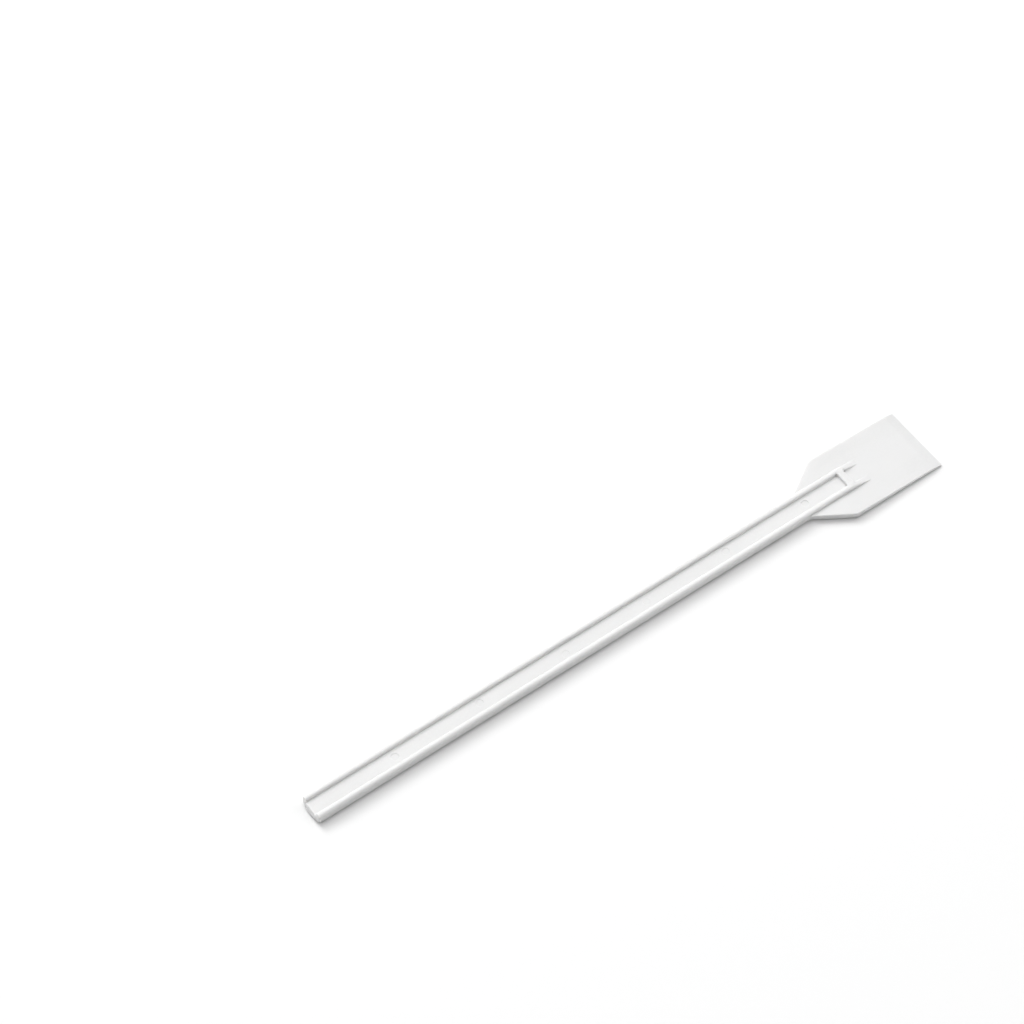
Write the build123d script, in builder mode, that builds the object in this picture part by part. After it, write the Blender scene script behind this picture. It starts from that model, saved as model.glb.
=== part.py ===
from build123d import *
import os

# Cell lifter, 180 mm: a one-piece injection moulding in white polyethylene.
# A long channelled handle (flat floor, two round-topped side rails) runs into
# a flat, slightly wedge-shaped lifting blade with 30 degree shoulders and a
# bevelled front edge.  The rails carry on over the blade's root, a round-topped
# cross bar closes the channel there, and from the bar on the rails ramp down,
# at their full width, into the blade.
#
# Frame: +X from the handle's plain end to the blade's front edge, +Y across,
# +Z up.  The origin is the middle of the flat underside that the tool rests on.
# All sizes are in millimetres.

# ---- driving dimensions -------------------------------------------------
length = 180.0           # plain end to front edge
handle_w = 7.32          # across the outer faces, run up to the rails' crests
handle_low_w = 7.04      # across the outer faces, run down to the underside
channel_w = 3.96         # channel floor, between the rails' feet
channel_top_w = 4.22     # channel mouth, between the rails' inner top edges
floor_z = 2.14           # channel floor above the underside
rail_z = 3.05            # rails' crests above the underside
rail_in_r = 0.59         # rounding of each rail's top edge, channel side
rail_out_r = 0.75        # rounding of each rail's top edge, outer side
foot_r = 0.10            # fillet between channel floor and rail
under_r = 0.83           # rounding of the handle's lower edges, plain end too

blade_w = 19.4           # width of the lifting blade
blade_len = 26.7         # shoulder corner to front edge
shoulder_run = 9.8       # length of the sloping shoulder along the tool
shoulder_r = 1.3         # rounding of the shoulder corner, seen from above
shoulder_foot_r = 1.5    # fillet where the shoulder leaves the handle
blade_root_z = floor_z   # blade's thickness at the shoulders
blade_front_z = 1.16     # blade's thickness where the bevel starts
bevel_len = 2.8          # length of the bevel along the tool
edge_z = 0.55            # thickness left at the front edge
blade_under_r = 0.35     # rounding of the blade's lower side edges
blade_top_r = 0.15       # rounding of the blade's upper side edges

bar_gap = 23.8           # front edge to the bar's rear foot
bar_t = 2.05             # cross bar, along the tool, at its foot
bar_draft = 0.08         # lean of the bar's rear face
bar_z = 2.98             # bar's crest above the underside
bar_r = 0.80             # rounding of the bar's top edges

ramp_start = 0.85        # bar's rear foot to the start of the rails' ramps
ramp_len = 5.5           # run of each rail's ramp
ramp_tip_r = 0.05        # rounding left on the rails' top edges at the tips

end_bulge = 0.55         # how far the plain end bows out, seen from above
end_corner_r = 1.1       # corners of the plain end, seen from above
end_lean = 0.60          # how far the plain end leans in, up to the crests
end_lean_z = 0.95        # height at which that lean starts

pin_d = 1.90             # ejector pin witness marks in the channel floor
pin_depth = 0.12
pin_pitch = 24.2
pin_first = 23.8         # plain end to the first mark
# sideways places of the marks, from the plain end on
pin_y = (0.0, 0.35, -0.55, 0.0, 0.35, 0.1)

# ---- derived places -----------------------------------------------------
x_end = -length / 2
x_front = length / 2
x_shoulder = x_front - blade_len
x_neck = x_shoulder - shoulder_run
x_bevel = x_front - bevel_len
x_bar0 = x_front - bar_gap
x_bar1 = x_bar0 + bar_t
x_ramp0 = x_bar0 + ramp_start
x_ramp1 = x_ramp0 + ramp_len
blade_slope = (blade_root_z - blade_front_z) / (x_bevel - x_shoulder)
tip_z = blade_root_z - blade_slope * (x_ramp1 - x_shoulder)
sunk_z = 0.6             # the ramps' hidden roots, inside the blade


def outer_y(z):
    """Half width across the handle's outer faces at height z."""
    return (handle_low_w + (handle_w - handle_low_w) * z / rail_z) / 2


os.makedirs("parts", exist_ok=True)

with BuildPart() as blade:
    # plan outline: neck, sloping shoulders, straight sides, straight front edge
    neck_y = handle_low_w / 2 + 0.08
    with BuildSketch(Plane.XY) as outline:
        with BuildLine():
            Polyline(
                (x_neck - 3, -neck_y), (x_neck, -neck_y),
                (x_shoulder, -blade_w / 2), (x_front, -blade_w / 2),
                (x_front, blade_w / 2), (x_shoulder, blade_w / 2),
                (x_neck, neck_y), (x_neck - 3, neck_y),
                close=True,
            )
        make_face()
        fillet(outline.vertices().filter_by(
            lambda v: abs(v.X - x_shoulder) < 1e-6), shoulder_r)
        fillet(outline.vertices().filter_by(
            lambda v: abs(v.X - x_neck) < 1e-6), shoulder_foot_r)
    extrude(amount=blade_root_z)

    # top: slopes down from the shoulders to the bevel, then the bevel itself
    with BuildSketch(Plane.XZ) as slope:
        with BuildLine():
            Polyline(
                (x_shoulder, blade_root_z), (x_bevel, blade_front_z),
                (x_front, edge_z), (x_front + 2, edge_z),
                (x_front + 2, blade_root_z + 2), (x_shoulder, blade_root_z + 2),
                close=True,
            )
        make_face()
    extrude(amount=blade_w, both=True, mode=Mode.SUBTRACT)

    # lower side edges, from the neck to the front; the front edge stays crisp
    low = blade.edges().filter_by(
        lambda e: max(abs((e @ 0).Z), abs((e @ 1).Z)) < 1e-6
        and not (abs((e @ 0).X - x_front) < 1e-6 and abs((e @ 1).X - x_front) < 1e-6)
        and not (abs((e @ 0).X - x_neck + 3) < 1e-6 and abs((e @ 1).X - x_neck + 3) < 1e-6))
    fillet(low, blade_under_r)

    # upper side edges
    high = blade.edges().filter_by(
        lambda e: min((e @ 0).Z, (e @ 1).Z) > edge_z - 1e-6
        and min(abs((e @ 0).Y), abs((e @ 1).Y)) > neck_y - 1e-6
        and abs((e @ 0).Y - (e @ 1).Y) < blade_w / 2
        and abs((e @ 0).X - (e @ 1).X) > 0.05)
    fillet(high, blade_top_r)

with BuildPart() as ramp_far:
    # the +Y rail's ramp: full section at the bar, flush with the blade at its tip
    with BuildSketch(Plane.YZ.offset(x_ramp0)) as full_section:
        with BuildLine():
            Polyline(
                (channel_w / 2 - 0.02, sunk_z), (outer_y(sunk_z), sunk_z),
                (outer_y(rail_z), rail_z), (channel_top_w / 2, rail_z),
                (channel_w / 2, floor_z),
                close=True,
            )
        make_face()
        fillet(full_section.vertices().filter_by(
            lambda v: abs(v.Y - rail_z) < 1e-6 and v.X > 3), rail_out_r)
        fillet(full_section.vertices().filter_by(
            lambda v: abs(v.Y - rail_z) < 1e-6 and v.X < 2.5), rail_in_r)
    with BuildSketch(Plane.YZ.offset(x_ramp1)) as tip_section:
        with BuildLine():
            Polyline(
                (channel_w / 2 - 0.02, sunk_z), (outer_y(sunk_z), sunk_z),
                (outer_y(tip_z), tip_z), (channel_w / 2 + 0.04, tip_z),
                (channel_w / 2, tip_z - 0.3),
                close=True,
            )
        make_face()
        fillet(tip_section.vertices().filter_by(
            lambda v: abs(v.Y - tip_z) < 1e-6), ramp_tip_r)
    loft(ruled=True)

with BuildPart() as ramps:
    add(ramp_far.part)
    mirror(about=Plane.XZ)

with BuildPart() as end_form:
    # the form that shapes the plain end: bowed outwards a little with soft
    # corners, seen from above, rounded underneath, leaning in to the crests
    half = handle_w / 2 + 0.13
    x_far = x_ramp0 + 5
    with BuildSketch(Plane.XY) as end_plan:
        with BuildLine():
            l1 = Line((x_end + end_bulge, half), (x_far, half))
            l2 = Line((x_far, half), (x_far, -half))
            l3 = Line((x_far, -half), (x_end + end_bulge, -half))
            l4 = ThreePointArc((x_end + end_bulge, -half), (x_end, 0),
                               (x_end + end_bulge, half))
        make_face()
        fillet(end_plan.vertices().filter_by(
            lambda v: abs(v.X - x_end - end_bulge) < 1e-6), end_corner_r)
    extrude(amount=rail_z + 1)
    fillet(end_form.edges().filter_by(
        lambda e: max(abs((e @ 0).Z), abs((e @ 1).Z)) < 1e-6
        and min((e @ 0).X, (e @ 1).X) < x_far - 1e-6), under_r)
    with BuildSketch(Plane.XZ) as lean_trim:
        with BuildLine():
            Polyline(
                (x_end - 1, end_lean_z), (x_end, end_lean_z),
                (x_end + end_lean, rail_z), (x_end + end_lean, rail_z + 2),
                (x_end - 1, rail_z + 2),
                close=True,
            )
        make_face()
    extrude(amount=handle_w, both=True, mode=Mode.SUBTRACT)

with BuildPart() as lifter:
    # handle: a shallow channel, drawn across the tool and run up to the ramps
    with BuildSketch(Plane.YZ.offset(x_end)) as channel_section:
        with BuildLine():
            Polyline(
                (-handle_low_w / 2, 0), (handle_low_w / 2, 0),
                (handle_w / 2, rail_z),
                (channel_top_w / 2, rail_z),
                (channel_w / 2, floor_z),
                (-channel_w / 2, floor_z),
                (-channel_top_w / 2, rail_z),
                (-handle_w / 2, rail_z),
                close=True,
            )
        make_face()
        # in the sketch's own plane, Y is the height above the underside
        fillet(channel_section.vertices().filter_by(
            lambda v: abs(v.Y) < 1e-6), under_r)
        fillet(channel_section.vertices().filter_by(
            lambda v: abs(v.Y - rail_z) < 1e-6 and abs(v.X) > 3), rail_out_r)
        fillet(channel_section.vertices().filter_by(
            lambda v: abs(v.Y - rail_z) < 1e-6 and abs(v.X) < 2.5), rail_in_r)
        fillet(channel_section.vertices().filter_by(
            lambda v: abs(v.Y - floor_z) < 1e-6 and abs(v.X) < 2.5), foot_r)
    extrude(amount=x_ramp0 - x_end)

    # the plain end
    add(end_form.part, mode=Mode.INTERSECT)

    # the blade and the rails' ramps are one moulding with the handle
    add(blade.part)
    add(ramps.part)

    # cross bar that closes the channel over the blade's root
    with BuildSketch(Plane.XZ) as bar_section:
        with BuildLine():
            Polyline(
                (x_bar0, floor_z - 0.4), (x_bar0, floor_z),
                (x_bar0 + bar_draft, bar_z), (x_bar1 - bar_draft, bar_z),
                (x_bar1, floor_z - 0.4),
                close=True,
            )
        make_face()
        fillet(bar_section.vertices().filter_by(
            lambda v: abs(v.Y - bar_z) < 1e-6), bar_r)
    extrude(amount=(channel_w + handle_w) / 4, both=True)

    # round ejector pin marks, just sunk into the channel floor
    for i, y in enumerate(pin_y):
        with BuildSketch(Plane.XY.offset(floor_z)) as pin:
            with Locations((x_end + pin_first + pin_pitch * i, y)):
                Circle(pin_d / 2)
        extrude(amount=-pin_depth, mode=Mode.SUBTRACT)

lifter.part.label = "cell_lifter"
export_step(lifter.part, "parts/cell_lifter.step")

box = lifter.part.bounding_box()
print("size", box.size, "min", box.min, "max", box.max)
print("valid", lifter.part.is_valid, "solids", len(lifter.part.solids()),
      "volume", lifter.part.volume)
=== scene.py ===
import math

import bmesh
import bpy
import numpy as np
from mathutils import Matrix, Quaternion, Vector, geometry


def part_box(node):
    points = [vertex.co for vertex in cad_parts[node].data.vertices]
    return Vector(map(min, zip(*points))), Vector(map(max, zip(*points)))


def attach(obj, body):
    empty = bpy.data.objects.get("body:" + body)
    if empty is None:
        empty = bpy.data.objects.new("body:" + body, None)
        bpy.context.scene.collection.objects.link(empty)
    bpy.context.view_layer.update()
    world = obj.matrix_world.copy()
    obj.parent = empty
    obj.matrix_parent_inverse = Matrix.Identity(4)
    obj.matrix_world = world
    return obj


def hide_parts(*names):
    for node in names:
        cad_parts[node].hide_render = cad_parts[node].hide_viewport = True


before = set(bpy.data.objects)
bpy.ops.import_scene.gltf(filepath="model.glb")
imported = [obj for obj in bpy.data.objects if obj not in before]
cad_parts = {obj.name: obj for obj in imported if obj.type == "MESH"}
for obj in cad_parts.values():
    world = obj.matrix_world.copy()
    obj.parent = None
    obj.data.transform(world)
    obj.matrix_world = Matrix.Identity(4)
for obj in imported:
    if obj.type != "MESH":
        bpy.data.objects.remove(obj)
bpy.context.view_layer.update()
scene = bpy.context.scene

# ---------------------------------------------------------------------------
# The moulding's form, in millimetres, along the tool from the plain end (-X)
# to the blade's front edge (+X).  Length, width and height are the frame's.
# ---------------------------------------------------------------------------
lo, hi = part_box("cell_lifter")
X_END, X_FRONT = lo.x * 1000, hi.x * 1000
HALF_BLADE = hi.y * 1000
RAIL_Z = hi.z * 1000

HALF_BOTTOM = 3.52       # handle's outer faces, run down to the underside
HALF_TOP = 3.66          # and run up to the rails' crests
HALF_CHANNEL = 1.98      # channel floor
HALF_MOUTH = 2.11        # channel mouth
FLOOR_Z = 2.14
RAIL_IN_R = 0.59         # rounding of the rails' top edges, channel side
RAIL_OUT_R = 0.75        # and outer side
FOOT_R = 0.10
UNDER_R = 0.83
OUTER_FOOT_R = 0.04      # fillet between the rails' outer faces and the blade

X_SHOULDER = X_FRONT - 26.7
X_NECK = X_SHOULDER - 9.8
X_BEVEL = X_FRONT - 2.8
BLADE_FRONT_Z = 1.16
EDGE_Z = 0.55
BLADE_TOP_R = 0.15
BLADE_UNDER_R = 0.65

X_BAR0 = X_FRONT - 23.8
X_BAR1 = X_BAR0 + 2.05
BAR_Z = 2.98
BAR_R = 0.80
BAR_DRAFT = 0.08
X_RAMP0 = X_BAR0 + 0.85
X_RAMP1 = X_RAMP0 + 5.5

END_BULGE = 0.55
END_CORNER_R = 1.1
END_LEAN = 0.60
END_LEAN_Z = 0.95
END_EDGE_R = 0.15
FRONT_EDGE_R = 0.05

PIN_R = 0.95
# the marks are not all equally deep; the one nearest the blade shows most
PIN_DEPTHS = (0.12, 0.12, 0.08, 0.05, 0.12, 0.17)
PINS = [(X_END + 23.8 + 24.2 * i, y)
        for i, y in enumerate((0.0, 0.35, -0.55, 0.0, 0.35, 0.1))]


def corner(a, p, b, r, n, fa=0.48, fb=0.48):
    """n + 1 points round the corner p between a and b, with radius r or the largest that fits.

    fa and fb are the shares of the two sides that the rounding may use up.
    """
    a, p, b = (np.asarray(v, float) for v in (a, p, b))
    la, lb = np.linalg.norm(a - p), np.linalg.norm(b - p)
    if la < 1e-9 or lb < 1e-9 or r < 1e-6:
        return np.repeat(p[None], n + 1, 0)
    u, v = (a - p) / la, (b - p) / lb
    phi = math.acos(max(-1.0, min(1.0, float(u @ v))))
    if phi > math.pi - 1e-4 or phi < 1e-4:
        return np.repeat(p[None], n + 1, 0)
    t = min(r / math.tan(phi / 2), fa * la, fb * lb)
    r = t * math.tan(phi / 2)
    w = (u + v) / np.linalg.norm(u + v)
    c = p + w * (r / math.sin(phi / 2))
    s, e = (p + u * t - c), (p + v * t - c)
    turn = math.acos(max(-1.0, min(1.0, float(s @ e) / (r * r))))
    k = np.linspace(0, 1, n + 1)[:, None]
    return c + (np.sin((1 - k) * turn) * s + np.sin(k * turn) * e) / math.sin(turn)


def between(a, b, n):
    """n points from a towards b, a and b left out."""
    k = np.linspace(0, 1, n + 2)[1:-1, None]
    return np.asarray(a, float) * (1 - k) + np.asarray(b, float) * k


def smooth(t):
    t = min(1.0, max(0.0, t))
    return t * t * (3 - 2 * t)


# ---- the blade's outline, seen from above, as half width over x ------------
neck_y = HALF_BOTTOM + 0.08
plan = [np.array([[X_NECK - 4.0, neck_y]])]
plan.append(corner((X_NECK - 4.0, neck_y), (X_NECK, neck_y), (X_SHOULDER, HALF_BLADE), 1.5, 10))
plan.append(between(plan[-1][-1], (X_SHOULDER, HALF_BLADE), 9)[:-1])
plan.append(corner((X_NECK, neck_y), (X_SHOULDER, HALF_BLADE), (X_FRONT, HALF_BLADE), 1.3, 12))
plan.append(corner((X_SHOULDER, HALF_BLADE), (X_FRONT, HALF_BLADE), (X_FRONT, 0), 0.16, 6))
plan = np.concatenate(plan)
# the front corner's last point is on the front edge itself
PLAN_X, PLAN_Y = plan[:, 0], plan[:, 1]


def half_blade(x):
    return float(np.interp(x, PLAN_X, PLAN_Y))


def blade_z(x):
    """The blade's top over x: the wedge, then the bevel, with a soft crease between them."""
    def raw(t):
        if t <= X_SHOULDER:
            return FLOOR_Z
        if t <= X_BEVEL:
            return FLOOR_Z + (BLADE_FRONT_Z - FLOOR_Z) * (t - X_SHOULDER) / (X_BEVEL - X_SHOULDER)
        return BLADE_FRONT_Z + (EDGE_Z - BLADE_FRONT_Z) * (t - X_BEVEL) / (X_FRONT - X_BEVEL)
    h = 0.10
    if abs(x - X_BEVEL) < h or abs(x - X_SHOULDER) < h:
        m = X_BEVEL if abs(x - X_BEVEL) < h else X_SHOULDER
        k = (x - m + h) / (2 * h)
        p0, p1, p2 = raw(m - h), raw(m), raw(m + h)
        return p0 * (1 - k) ** 2 + 2 * p1 * k * (1 - k) + p2 * k * k
    return raw(x)


TIP_Z = blade_z(X_RAMP1)


def rail_top(x):
    """The rails' crest over x: level, then the ramp, with a soft start."""
    if x >= X_RAMP1:
        return blade_z(x)
    slope = (TIP_Z - RAIL_Z) / (X_RAMP1 - X_RAMP0)
    h = 0.45
    if x < X_RAMP0 - h:
        return RAIL_Z
    if x < X_RAMP0 + h:
        k = (x - X_RAMP0 + h) / (2 * h)
        return RAIL_Z + slope * h * k * k
    return RAIL_Z + slope * (x - X_RAMP0)


def outer_y(z):
    return HALF_BOTTOM + (HALF_TOP - HALF_BOTTOM) * z / RAIL_Z


N_FLOOR, N_FOOT, N_INNER, N_TOP, N_ARC, N_OUT, N_OFOOT, N_SHELF, N_EDGE, N_SIDE, N_UNDER, N_BOTTOM = (
    27, 4, 12, 2, 8, 5, 4, 13, 4, 2, 6, 9)


def half_section(x, floor):
    """The half section at x, from the middle of the top to the middle of the underside."""
    zb, zr, yb = blade_z(x), rail_top(x), half_blade(x)
    floor = min(floor, zr - 0.004) if zr > zb + 0.02 else zb
    base = FLOOR_Z if x < X_BAR0 else zb
    ramp = smooth((x - X_RAMP0) / (X_RAMP1 - X_RAMP0)) if x > X_RAMP0 else 0.0
    r_in = RAIL_IN_R * (1 - ramp) + 0.05 * ramp
    r_out = RAIL_OUT_R * (1 - ramp) + 0.05 * ramp
    f_in, f_out = 0.98 * r_in / (r_in + r_out), 0.98 * r_out / (r_in + r_out)
    lean = (HALF_MOUTH - HALF_CHANNEL) / (RAIL_Z - FLOOR_Z)
    pts = []
    # the rail's inner face and its rounding, as one line from the foot to the crest
    foot = np.array((HALF_CHANNEL, base))
    inner_top = np.array((HALF_CHANNEL + lean * (zr - base), zr))
    outer_top = np.array((outer_y(zr), zr))
    if zr > base + 1e-6:
        arc = corner(foot, inner_top, outer_top, r_in, N_ARC * 3, 0.9, f_in)
        line = np.concatenate([between(foot, arc[0], 5), arc])
        line = np.concatenate([foot[None], line])
    else:
        arc = np.repeat(inner_top[None], N_ARC * 3 + 1, 0)
        line = np.repeat(foot[None], 5 + N_ARC * 3 + 2, 0)
    run = np.concatenate([[0], np.cumsum(np.linalg.norm(np.diff(line, axis=0), axis=1))])

    def at(s):
        return np.array((np.interp(s, run, line[:, 0]), np.interp(s, run, line[:, 1])))

    if run[-1] > 1e-6 and floor > base + 1e-6:
        s0 = float(np.interp(floor, line[:, 1], run))
    else:
        s0, floor = 0.0, base
    join = at(s0)
    ahead = at(min(run[-1], s0 + 0.35))
    foot_arc = corner((0, join[1]), join, ahead, FOOT_R, N_FOOT)
    s1 = s0 + np.linalg.norm(foot_arc[-1] - join)
    pts.append(np.array([[0.0, join[1]]]))
    pts.append(between((0.0, join[1]), foot_arc[0], N_FLOOR))
    pts.append(foot_arc)
    # inner face: a few points on the flat, more on the rounding
    flat = max(0.0, run[6] - s1)
    rest = run[-1] - max(s1, run[6])
    n_flat = 4
    if flat > 1e-6:
        ss = np.concatenate([s1 + flat * np.linspace(0, 1, n_flat + 1)[1:],
                             run[6] + rest * np.linspace(0, 1, N_INNER - n_flat + 1)[1:]])
    else:
        ss = s1 + (run[-1] - s1) * np.linspace(0, 1, N_INNER + 1)[1:]
    pts.append(np.array([at(s) for s in ss]))
    # crest
    if zr > zb + 1e-6:
        outer_foot = np.array((outer_y(zb), zb))
        out_arc = corner(inner_top, outer_top, outer_foot, r_out, N_ARC, f_out, 0.9)
    else:
        outer_foot = np.array((outer_y(zb), zb))
        out_arc = np.repeat(outer_foot[None], N_ARC + 1, 0)
    pts.append(between(arc[-1], out_arc[0], N_TOP))
    pts.append(out_arc)
    # outer face down to the blade's top, or to the same level on the handle
    shelf = yb > outer_foot[0] + 1e-4
    edge = np.array((max(yb, outer_foot[0]), zb))
    foot_out = corner(out_arc[-1], outer_foot, edge, OUTER_FOOT_R, N_OFOOT) if shelf else \
        np.repeat(outer_foot[None], N_OFOOT + 1, 0)
    pts.append(between(out_arc[-1], foot_out[0], N_OUT))
    pts.append(foot_out)
    k = smooth((x - X_NECK + 1.5) / 4.0)
    r_under = min(UNDER_R * (1 - k) + BLADE_UNDER_R * k, zb * (0.9 - 0.45 * k))
    y_low = HALF_BOTTOM * (1 - k) + edge[0] * k
    low = np.array((y_low, 0.0))
    edge_arc = corner(outer_foot, edge, low, BLADE_TOP_R, N_EDGE) if shelf else \
        np.repeat(edge[None], N_EDGE + 1, 0)
    pts.append(between(foot_out[-1], edge_arc[0], N_SHELF))
    pts.append(edge_arc)
    side_top = edge_arc[-1]
    under = corner((edge[0], zb), low, (0, 0), r_under, N_UNDER)
    pts.append(between(side_top, under[0], N_SIDE))
    pts.append(under)
    pts.append(between(under[-1], (0, 0), N_BOTTOM))
    pts.append(np.array([[0.0, 0.0]]))
    return np.concatenate(pts)


# ---- stations along the tool: (x, height of the channel's floor) -----------
xs = set()


def spread(a, b, n):
    xs.update(float(v) for v in np.linspace(a, b, n + 1))


spread(X_END + END_EDGE_R, X_END + 3.0, 10)
stops = [X_END + 3.0]
for px, _ in PINS:
    spread(px - PIN_R - 0.12, px + PIN_R + 0.12, 32)
    stops += [px - PIN_R - 0.12, px + PIN_R + 0.12]
stops.append(X_NECK - 1.5)
stops = sorted(stops)
for a, b in zip(stops[::2], stops[1::2]):
    if b - a > 0.5:
        spread(a, b, max(2, round((b - a) / 2.6)))
xs.update(float(v) for v in PLAN_X if v < X_FRONT - 1e-6 and v > X_NECK - 2.5)
spread(X_NECK - 1.5, X_NECK + 1.5, 14)
spread(X_NECK + 1.5, X_SHOULDER - 0.8, 12)
spread(X_SHOULDER + 0.8, X_BAR0 - 0.8, 4)
spread(X_BAR0 - 0.8, X_BAR0 - 0.16, 4)
spread(X_BAR1 + 0.16, X_RAMP1 - 0.3, 16)
spread(X_RAMP1 - 0.3, X_RAMP1 + 0.1, 4)
spread(X_RAMP1 + 0.1, X_BEVEL - 0.2, 14)
spread(X_BEVEL - 0.14, X_BEVEL + 0.14, 8)
spread(X_BEVEL + 0.2, X_FRONT - 0.3, 7)
spread(X_FRONT - 0.3, X_FRONT - FRONT_EDGE_R, 3)
stations = [(x, None) for x in sorted(xs) if not (X_BAR0 - 0.15 < x < X_BAR1 + 0.15)]
stations = [s for i, s in enumerate(stations) if i == 0 or s[0] - stations[i - 1][0] > 1e-3]
# over the bar the stations follow its rounded outline
zb1 = blade_z(X_BAR1)
p0, p1, p2, p3 = (X_BAR0, FLOOR_Z), (X_BAR0 + BAR_DRAFT, BAR_Z), (X_BAR1 - BAR_DRAFT, BAR_Z), (X_BAR1, zb1)
rise = corner((X_BAR0 - 1, FLOOR_Z), p0, p1, 0.14, 5)
rear = corner(p0, p1, p2, BAR_R, 12)
fore = corner(p1, p2, p3, BAR_R, 12)
fall = corner(p2, p3, (X_BAR1 + 1, zb1), 0.14, 5)
bar = np.concatenate([rise, between(rise[-1], rear[0], 4), rear, fore,
                      between(fore[-1], fall[0], 4), fall])
bar_stations = []
for x, z in bar:
    if not bar_stations or x > bar_stations[-1][0] + 1e-4:
        bar_stations.append((float(x), float(z)))
stations = sorted(stations + bar_stations, key=lambda s: s[0])

BAR_FILLET = 0.38


def bar_shift(x, y, floor):
    """How far a point of the bar's rear or front face moves along x, where the face rounds into the rails."""
    over = abs(y) - (HALF_CHANNEL - BAR_FILLET)
    if over <= 0:
        return 0.0
    over = min(over, BAR_FILLET)
    depth = BAR_FILLET - math.sqrt(max(0.0, BAR_FILLET ** 2 - over ** 2))
    mid = (X_BAR0 + X_BAR1) / 2
    if x < mid:
        w = smooth((x - (X_BAR0 - 1.2)) / 1.1) * (1 - smooth((x - X_BAR0 - 0.1) / 0.8))
        return -depth * w
    w = (1 - smooth((x - (X_BAR1 + 0.1)) / 1.1)) * smooth((x - (X_BAR1 - 0.9)) / 0.8)
    return depth * w


def pin_drop(x, y):
    for (px, py), depth in zip(PINS, PIN_DEPTHS):
        r = math.hypot(x - px, y - py)
        if r < PIN_R + 0.1:
            return -depth * (1 - smooth((r - (PIN_R - 0.05)) / 0.09))
    return 0.0


def end_inset(y, z):
    """How far the plain end's face stands in from the frame's end at that point.

    Bowed with soft corners, rounded underneath, leaning in towards the crests.
    """
    half = HALF_TOP + 0.13
    radius = (half ** 2 + END_BULGE ** 2) / (2 * END_BULGE)
    edge_y = half - END_CORNER_R
    drop = max(0.0, UNDER_R - max(z, 0.0))
    under = UNDER_R - math.sqrt(UNDER_R ** 2 - drop ** 2)
    y = min(abs(y), half - under)
    if y < edge_y * (radius - under) / (radius - END_CORNER_R):
        bow = radius - math.sqrt((radius - under) ** 2 - y * y)
    else:
        bow = radius - math.sqrt((radius - END_CORNER_R) ** 2 - edge_y ** 2)
        bow -= math.sqrt(max(0.0, (END_CORNER_R - under) ** 2 - (y - edge_y) ** 2))
    lean = END_LEAN * (z - END_LEAN_Z) / (RAIL_Z - END_LEAN_Z)
    # the larger of the two, with a soft change-over
    k = max(0.0, 1 - abs(bow - lean) / 0.08)
    return max(bow, lean) + 0.02 * k * k - 0.02 * max(0.0, 1 - abs(lean) / 0.08) ** 2


floor_cols = 1 + N_FLOOR + N_FOOT + 1


def loop_at(x, floor):
    """The closed loop of the section at x, as (x, y, z) points, +Y side first."""
    half = half_section(x, floor if floor is not None else (FLOOR_Z if x < X_BAR0 else blade_z(x)))
    out = []
    for side in (1, -1):
        rows = []
        for i, (y, z) in enumerate(half):
            px, yy = x, y * side
            if i < floor_cols:
                if X_BAR0 - 1.3 < x < X_BAR1 + 1.3:
                    px += bar_shift(x, yy, z)
                z += pin_drop(x, yy)
            elif i < floor_cols + N_INNER and X_BAR0 - 1.3 < x < X_BAR1 + 1.3:
                # the rail's own face only slides along itself, less and less towards the crest
                px += bar_shift(x, yy, z) * (1 - (i - floor_cols + 1) / N_INNER)
            rows.append((px, yy, z))
        out.append(rows)
    return np.array(out[0] + out[1][-2:0:-1])


def inset_loop(loop, d):
    """The loop moved inwards by d across the tool; points that coincide stay together."""
    yz = loop[:, 1:]
    group, keep = [], []
    for i, p in enumerate(yz):
        if not keep or np.linalg.norm(p - yz[keep[-1]]) > 1e-5:
            keep.append(i)
        group.append(len(keep) - 1)
    if np.linalg.norm(yz[keep[0]] - yz[keep[-1]]) < 1e-5:
        group = [0 if g == len(keep) - 1 else g for g in group]
        keep.pop()
    q = yz[keep]
    a, c = q - np.roll(q, 1, 0), np.roll(q, -1, 0) - q
    a /= np.linalg.norm(a, axis=1)[:, None]
    c /= np.linalg.norm(c, axis=1)[:, None]
    t = a + c
    t /= np.linalg.norm(t, axis=1)[:, None]
    nrm = np.stack([t[:, 1], -t[:, 0]], 1)
    area = 0.5 * float(np.sum(q[:, 0] * np.roll(q[:, 1], -1) - np.roll(q[:, 0], -1) * q[:, 1]))
    if area > 0:
        nrm = -nrm
    stretch = 1 / np.maximum(0.5, np.sum(t * a, axis=1))
    moved = q + nrm * (d * stretch)[:, None]
    out = loop.copy()
    out[:, 1:] = moved[group]
    return out


loops = []
# plain end: the edge break
first_x, first_f = stations[0]
start = loop_at(first_x, first_f)
for k in range(5, 0, -1):
    th = math.pi / 2 * k / 5
    ring = inset_loop(start, END_EDGE_R * (1 - math.cos(th)))
    ring[:, 0] = X_END + END_EDGE_R * (1 - math.sin(th))
    loops.append(ring)
for x, f in stations:
    loops.append(loop_at(x, f))
end = loops[-1]
for k in range(1, 4):
    th = math.pi / 2 * k / 3
    ring = inset_loop(end, FRONT_EDGE_R * (1 - math.cos(th)))
    ring[:, 0] = X_FRONT - FRONT_EDGE_R * (1 - math.sin(th))
    loops.append(ring)
# the plain end's bow, corners and lean fade out along the first millimetres
for ring in loops:
    for p in ring:
        w = 1 - (p[0] - X_END) / 3.0
        if w > 0:
            p[0] += end_inset(p[1], p[2]) * w
loops = np.array(loops)

bm = bmesh.new()
grid = [[bm.verts.new(Vector(p) / 1000) for p in ring] for ring in loops]
n = len(grid[0])
for a, b in zip(grid[:-1], grid[1:]):
    for i in range(n):
        j = (i + 1) % n
        bm.faces.new((a[i], a[j], b[j], b[i]))


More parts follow.
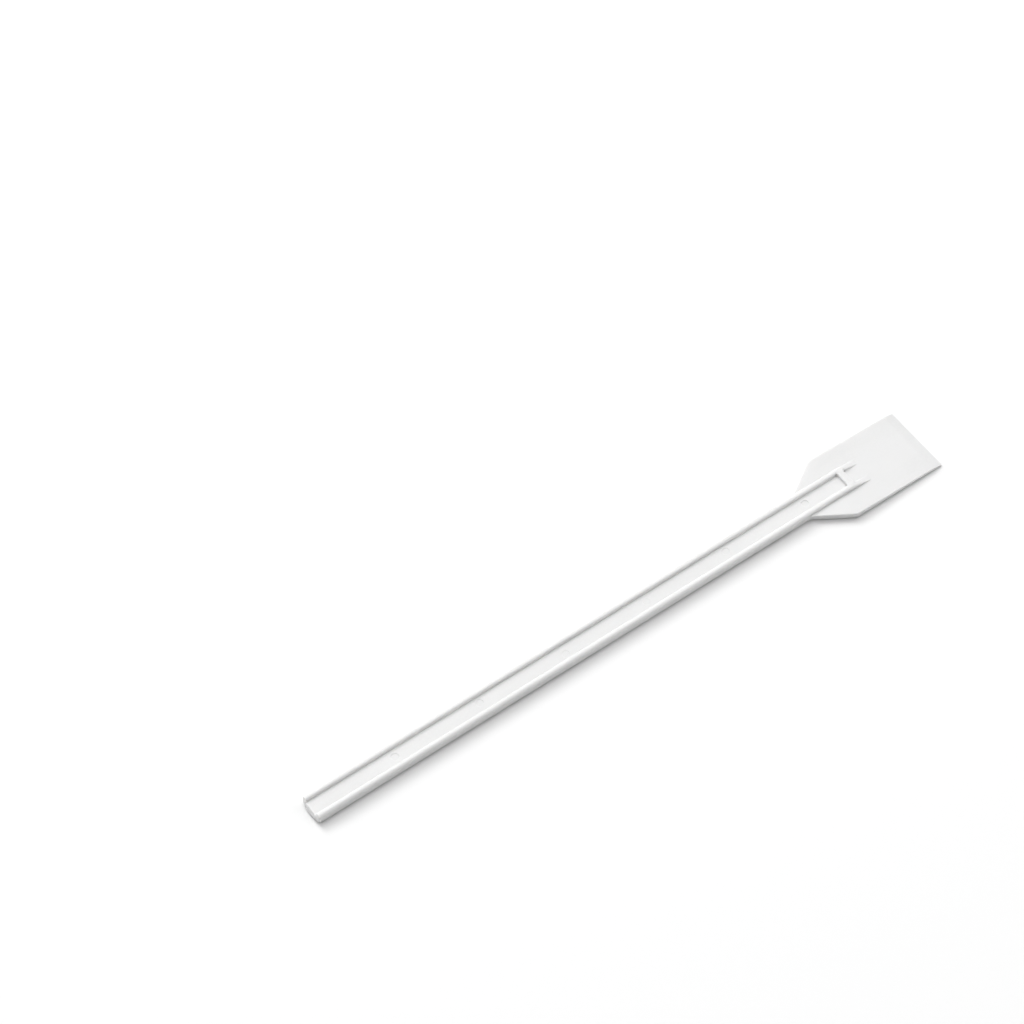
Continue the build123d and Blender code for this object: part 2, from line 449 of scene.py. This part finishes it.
def cap(ring, inset, step):
    """Closes a ring with evenly sized triangles, at inset(y, z) along x."""
    flat, verts = [], []
    for v in ring:
        q = Vector((v.co.y, v.co.z)) * 1000
        if verts and (q - flat[-1]).length < 2e-4:
            continue
        flat.append(q)
        verts.append(v)
    while (flat[0] - flat[-1]).length < 2e-4:
        flat.pop()
        verts.pop()
    m = len(flat)
    if sum(flat[i - 1].x * flat[i].y - flat[i].x * flat[i - 1].y for i in range(m)) < 0:
        flat.reverse()
        verts.reverse()
    edges = [(i, (i + 1) % m) for i in range(m)]
    pts = list(flat)
    if step:
        poly = np.array([(p.x, p.y) for p in flat])
        q0, q1 = poly, np.roll(poly, -1, 0)
        rows = int((poly[:, 1].max() - poly[:, 1].min()) / step)
        for r in range(1, rows + 1):
            z = poly[:, 1].min() + r * step
            shift = 0.5 * step if r % 2 else 0.0
            for y in np.arange(poly[:, 0].min() + shift, poly[:, 0].max(), step):
                d = q1 - q0
                t = np.clip(((y - q0[:, 0]) * d[:, 0] + (z - q0[:, 1]) * d[:, 1]) / np.maximum((d ** 2).sum(1), 1e-12), 0, 1)
                near = np.hypot(q0[:, 0] + t * d[:, 0] - y, q0[:, 1] + t * d[:, 1] - z).min()
                cross = (q0[:, 1] > z) != (q1[:, 1] > z)
                hit = q0[:, 0] + (z - q0[:, 1]) / np.where(cross, q1[:, 1] - q0[:, 1], 1) * (q1[:, 0] - q0[:, 0])
                if int(np.sum(cross & (hit > y))) % 2 and near > 0.55 * step:
                    pts.append(Vector((float(y), float(z))))
    poly = np.array([(p.x, p.y) for p in flat])
    q0, q1 = poly, np.roll(poly, -1, 0)
    out, _, faces, orig, _, _ = geometry.delaunay_2d_cdt(pts, edges, [], 0, 1e-6, True)
    made = []
    for i, p in enumerate(out):
        first = min(orig[i]) if orig[i] else -1
        if 0 <= first < m:
            made.append(verts[first])
        else:
            made.append(bm.verts.new(Vector((inset(p.x, p.y), p.x, p.y)) / 1000))
    for f in faces:
        mid = sum((out[i] for i in f), Vector((0, 0))) / len(f)
        cross = (q0[:, 1] > mid.y) != (q1[:, 1] > mid.y)
        hit = q0[:, 0] + (mid.y - q0[:, 1]) / np.where(cross, q1[:, 1] - q0[:, 1], 1) * (q1[:, 0] - q0[:, 0])
        vs = [made[i] for i in f]
        if int(np.sum(cross & (hit > mid.x))) % 2 and len(set(vs)) == 3:
            bm.faces.new(vs)


cap(grid[0], lambda y, z: X_END + end_inset(y, z), 0.17)
cap(grid[-1], lambda y, z: X_FRONT, None)
bmesh.ops.remove_doubles(bm, verts=bm.verts, dist=2e-7)
bmesh.ops.dissolve_degenerate(bm, dist=1e-8, edges=bm.edges)
bmesh.ops.recalc_face_normals(bm, faces=bm.faces)
open_edges = sum(1 for e in bm.edges if len(e.link_faces) != 2)
for e in bm.edges:
    e.smooth = not (len(e.link_faces) == 2 and e.calc_face_angle(0) > math.radians(38))
for f in bm.faces:
    f.smooth = True
mesh = bpy.data.meshes.new("cell_lifter_moulding")
bm.to_mesh(mesh)
volume = bm.calc_volume() * 1e9
bm.free()
print("LIFTER", len(mesh.vertices), "verts", sum(len(p.vertices) - 2 for p in mesh.polygons), "tris",
      "open edges", open_edges, "volume mm3", round(volume, 1))
lifter = bpy.data.objects.new("cell_lifter_moulding", mesh)
scene.collection.objects.link(lifter)

# ---------------------------------------------------------------------------
# Material
# ---------------------------------------------------------------------------
mat = bpy.data.materials.new("satin_white_polyethylene")
mat.use_nodes = True
nt = mat.node_tree
bsdf = nt.nodes["Principled BSDF"]
bsdf.inputs["IOR"].default_value = 1.51
bsdf.inputs["Specular IOR Level"].default_value = 0.30
bsdf.inputs["Subsurface Weight"].default_value = 0.9
bsdf.inputs["Subsurface Radius"].default_value = (1.0, 0.98, 0.95)
bsdf.inputs["Subsurface Scale"].default_value = 0.0015


def node(kind, **settings):
    n_ = nt.nodes.new(kind)
    for key, value in settings.items():
        setattr(n_, key, value)
    return n_


def noise(scale, detail, rough, stretch=(1, 1, 1), move=(0, 0, 0)):
    """A noise field in the part's own metres, stretched per axis."""
    mapping = node("ShaderNodeMapping")
    mapping.inputs["Location"].default_value = move
    mapping.inputs["Scale"].default_value = stretch
    nt.links.new(coords.outputs["Object"], mapping.inputs["Vector"])
    tex = node("ShaderNodeTexNoise", noise_dimensions="3D")
    tex.inputs["Scale"].default_value = scale
    tex.inputs["Detail"].default_value = detail
    tex.inputs["Roughness"].default_value = rough
    nt.links.new(mapping.outputs["Vector"], tex.inputs["Vector"])
    return tex


def ramp(tex, a, b, lo_, hi_):
    """Maps the noise's a..b onto lo_..hi_."""
    m = node("ShaderNodeMapRange", clamp=True)
    m.inputs["From Min"].default_value = a
    m.inputs["From Max"].default_value = b
    m.inputs["To Min"].default_value = lo_
    m.inputs["To Max"].default_value = hi_
    nt.links.new(tex, m.inputs["Value"])
    return m.outputs["Result"]


def total(a, b):
    m = node("ShaderNodeMath", operation="ADD")
    nt.links.new(a, m.inputs[0])
    nt.links.new(b, m.inputs[1])
    return m.outputs["Value"]


coords = node("ShaderNodeTexCoord")
# cloudy, very slight differences in how white the resin is, drawn out along the flow
cloud = noise(90.0, 4.0, 0.55, (0.22, 1.0, 1.0))
fleck = noise(1400.0, 3.0, 0.6, (1.0, 1.0, 1.0), (0.3, 0.1, 0.2))
tint = node("ShaderNodeValToRGB")
tint.color_ramp.elements[0].position = 0.30
tint.color_ramp.elements[0].color = (0.690, 0.690, 0.688, 1)
tint.color_ramp.elements[1].position = 0.70
tint.color_ramp.elements[1].color = (0.718, 0.718, 0.717, 1)
nt.links.new(total(ramp(cloud.outputs["Fac"], 0.25, 0.75, 0.0, 0.75),
                   ramp(fleck.outputs["Fac"], 0.30, 0.70, 0.0, 0.25)), tint.inputs["Fac"])
nt.links.new(tint.outputs["Color"], bsdf.inputs["Base Color"])
# satin skin: a fine eroded grain, polishing lines along the tool, patches a shade glossier
grain = noise(5200.0, 5.0, 0.62)
lines = noise(2600.0, 3.0, 0.55, (0.03, 1.0, 1.0), (0.7, 0.2, 0.4))
patch = noise(240.0, 3.0, 0.5, (0.5, 1.0, 1.0), (0.1, 0.9, 0.5))
nt.links.new(total(total(ramp(grain.outputs["Fac"], 0.30, 0.70, 0.30, 0.38),
                         ramp(lines.outputs["Fac"], 0.30, 0.70, 0.0, 0.05)),
                   ramp(patch.outputs["Fac"], 0.30, 0.70, 0.0, 0.09)), bsdf.inputs["Roughness"])
skin = node("ShaderNodeBump")
skin.inputs["Strength"].default_value = 0.35
skin.inputs["Distance"].default_value = 0.000012
nt.links.new(total(ramp(grain.outputs["Fac"], 0.2, 0.8, 0.0, 1.0),
                   ramp(lines.outputs["Fac"], 0.2, 0.8, 0.0, 0.6)), skin.inputs["Height"])
# the slight unevenness that cooling leaves in thick polyethylene
sink = noise(210.0, 2.0, 0.45, (0.35, 1.0, 1.0), (0.5, 0.5, 0.1))
wave = node("ShaderNodeBump")
wave.inputs["Strength"].default_value = 0.5
wave.inputs["Distance"].default_value = 0.00004
nt.links.new(sink.outputs["Fac"], wave.inputs["Height"])
nt.links.new(wave.outputs["Normal"], skin.inputs["Normal"])
nt.links.new(skin.outputs["Normal"], bsdf.inputs["Normal"])
mesh.materials.append(mat)
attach(lifter, "root")
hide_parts("cell_lifter")

# ---------------------------------------------------------------------------
# Floor, light and camera
# ---------------------------------------------------------------------------
fmesh = bpy.data.meshes.new("floor")
fmesh.from_pydata([(-4, -4, -2e-5), (4, -4, -2e-5), (4, 4, -2e-5), (-4, 4, -2e-5)], [], [(0, 1, 2, 3)])
floor_ob = bpy.data.objects.new("floor", fmesh)
scene.collection.objects.link(floor_ob)
fm = bpy.data.materials.new("floor")
fm.use_nodes = True
fb = fm.node_tree.nodes["Principled BSDF"]
fb.inputs["Base Color"].default_value = (0.82, 0.82, 0.82, 1)
fb.inputs["Roughness"].default_value = 0.9
fmesh.materials.append(fm)

world = bpy.data.worlds.new("studio")
scene.world = world
world.use_nodes = True
world.node_tree.nodes["Background"].inputs["Color"].default_value = (1, 1, 1, 1)
world.node_tree.nodes["Background"].inputs["Strength"].default_value = 0.02


def softbox(name, az, el, dist, size, power):
    light = bpy.data.lights.new(name, "AREA")
    light.shape = "DISK"
    light.size = size
    light.energy = power
    o = bpy.data.objects.new(name, light)
    scene.collection.objects.link(o)
    a, e = math.radians(az), math.radians(el)
    p = Vector((math.cos(a) * math.cos(e), math.sin(a) * math.cos(e), math.sin(e))) * dist
    o.location = p
    o.rotation_euler = (-p).to_track_quat("-Z", "Y").to_euler()
    return o


# large soft sources, strongest from behind the tool
softbox("back", 90, 45, 3.0, 1.7, 53.0)
softbox("back_top", 60, 68, 3.0, 1.7, 29.0)
softbox("handle_top", 180, 68, 3.0, 1.7, 13.5)
softbox("front_top", 300, 68, 3.0, 1.7, 3.0)
softbox("overhead", 0, 90, 3.0, 1.7, 8.0)
softbox("blade_side", 0, 45, 3.0, 1.7, 15.0)
softbox("low_back", 45, 22, 3.0, 1.7, 6.0)
softbox("low_left", 135, 22, 3.0, 1.7, 20.0)
softbox("low_front_left", 225, 22, 3.0, 1.7, 7.0)
softbox("low_front", 315, 22, 3.0, 1.7, 18.0)

az, el, roll, dist = math.radians(54.196), math.radians(55.308), math.radians(-0.0758), 0.7889
cam = bpy.data.cameras.new("camera")
cam.sensor_width = 36
cam.lens = 3248.2 / 1024 * 36
cam.clip_start = 0.01
co = bpy.data.objects.new("camera", cam)
scene.collection.objects.link(co)
fwd = Vector((math.cos(az) * math.cos(el), math.sin(az) * math.cos(el), -math.sin(el)))
co.location = Vector((0.086606 - 0.090, 0.040916, 0)) - fwd * dist
co.rotation_mode = "QUATERNION"
co.rotation_quaternion = fwd.to_track_quat("-Z", "Y") @ Quaternion((0, 0, 1), roll)
scene.camera = co
scene.view_settings.view_transform = "Standard"
